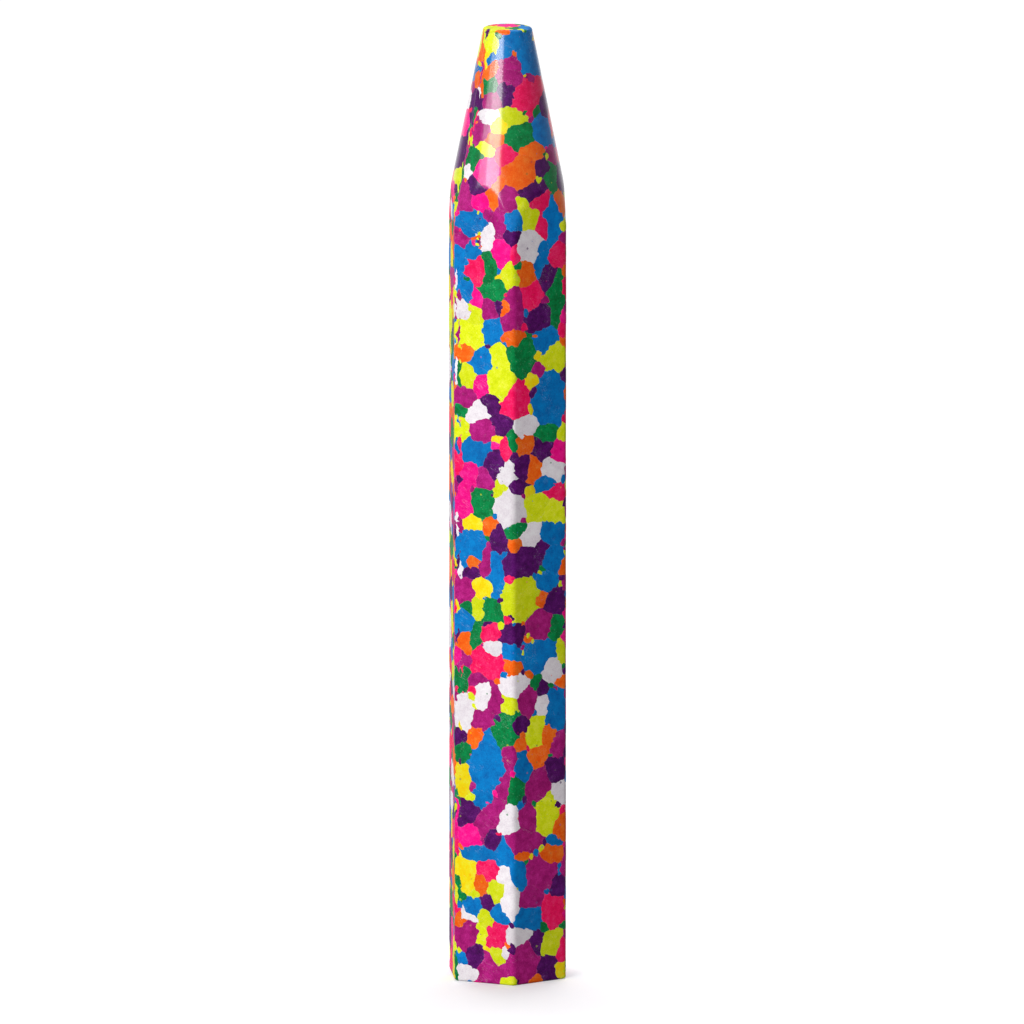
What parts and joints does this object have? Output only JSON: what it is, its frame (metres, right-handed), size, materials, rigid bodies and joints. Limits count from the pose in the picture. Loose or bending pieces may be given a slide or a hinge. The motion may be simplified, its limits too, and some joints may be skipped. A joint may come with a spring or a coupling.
{
  "type": "jumbo crayon",
  "caption": "Thick six-sided wax crayon with a round cone and a flat blunt tip, pressed from wax granules of many colours.",
  "frame": {"origin": "middle of the flat base face", "axes": "+Z along the stick to the tip, -Y through the corner that faces the front"},
  "size_m": [0.0148, 0.017, 0.127],
  "materials": {
    "blue_wax": "satin pressed wax",
    "green_wax": "satin pressed wax",
    "lemon_wax": "satin pressed wax",
    "yellow_wax": "satin pressed wax",
    "orange_wax": "satin pressed wax",
    "red_wax": "satin pressed wax",
    "rose_wax": "satin pressed wax",
    "magenta_wax": "satin pressed wax",
    "violet_wax": "satin pressed wax",
    "white_wax": "satin pressed wax",
    "mixed_wax": "satin pressed wax of all the colours"
  },
  "bodies": {
    "root": {"fine_granule_ground": "mixed_wax", "blue_granule_1": "blue_wax", "blue_granule_2": "blue_wax", "blue_granule_3": "blue_wax", "blue_granule_4": "blue_wax", "blue_granule_5": "blue_wax", "blue_granule_6": "blue_wax", "blue_granule_7": "blue_wax", "blue_granule_8": "blue_wax", "blue_granule_9": "blue_wax", "blue_granule_10": "blue_wax", "blue_granule_11": "blue_wax", "blue_granule_12": "blue_wax", "green_granule_1": "green_wax", "green_granule_2": "green_wax", "green_granule_3": "green_wax", "green_granule_4": "green_wax", "lemon_granule_1": "lemon_wax", "lemon_granule_2": "lemon_wax", "lemon_granule_3": "lemon_wax", "lemon_granule_4": "lemon_wax", "lemon_granule_5": "lemon_wax", "lemon_granule_6": "lemon_wax", "lemon_granule_7": "lemon_wax", "lemon_granule_8": "lemon_wax", "lemon_granule_9": "lemon_wax", "yellow_granule_1": "yellow_wax", "yellow_granule_2": "yellow_wax", "yellow_granule_3": "yellow_wax", "orange_granule_1": "orange_wax", "orange_granule_2": "orange_wax", "orange_granule_3": "orange_wax", "red_granule_1": "red_wax", "red_granule_2": "red_wax", "red_granule_3": "red_wax", "red_granule_4": "red_wax", "red_granule_5": "red_wax", "red_granule_6": "red_wax", "rose_granule_1": "rose_wax", "rose_granule_2": "rose_wax", "rose_granule_3": "rose_wax", "rose_granule_4": "rose_wax", "magenta_granule_1": "magenta_wax", "magenta_granule_2": "magenta_wax", "magenta_granule_3": "magenta_wax", "magenta_granule_4": "magenta_wax", "magenta_granule_5": "magenta_wax", "magenta_granule_6": "magenta_wax", "magenta_granule_7": "magenta_wax", "violet_granule_1": "violet_wax", "violet_granule_2": "violet_wax", "violet_granule_3": "violet_wax", "violet_granule_4": "violet_wax", "white_granule_1": "white_wax", "white_granule_2": "white_wax", "white_granule_3": "white_wax", "white_granule_4": "white_wax", "white_granule_5": "white_wax", "white_granule_6": "white_wax"}
  },
  "joints": []
}
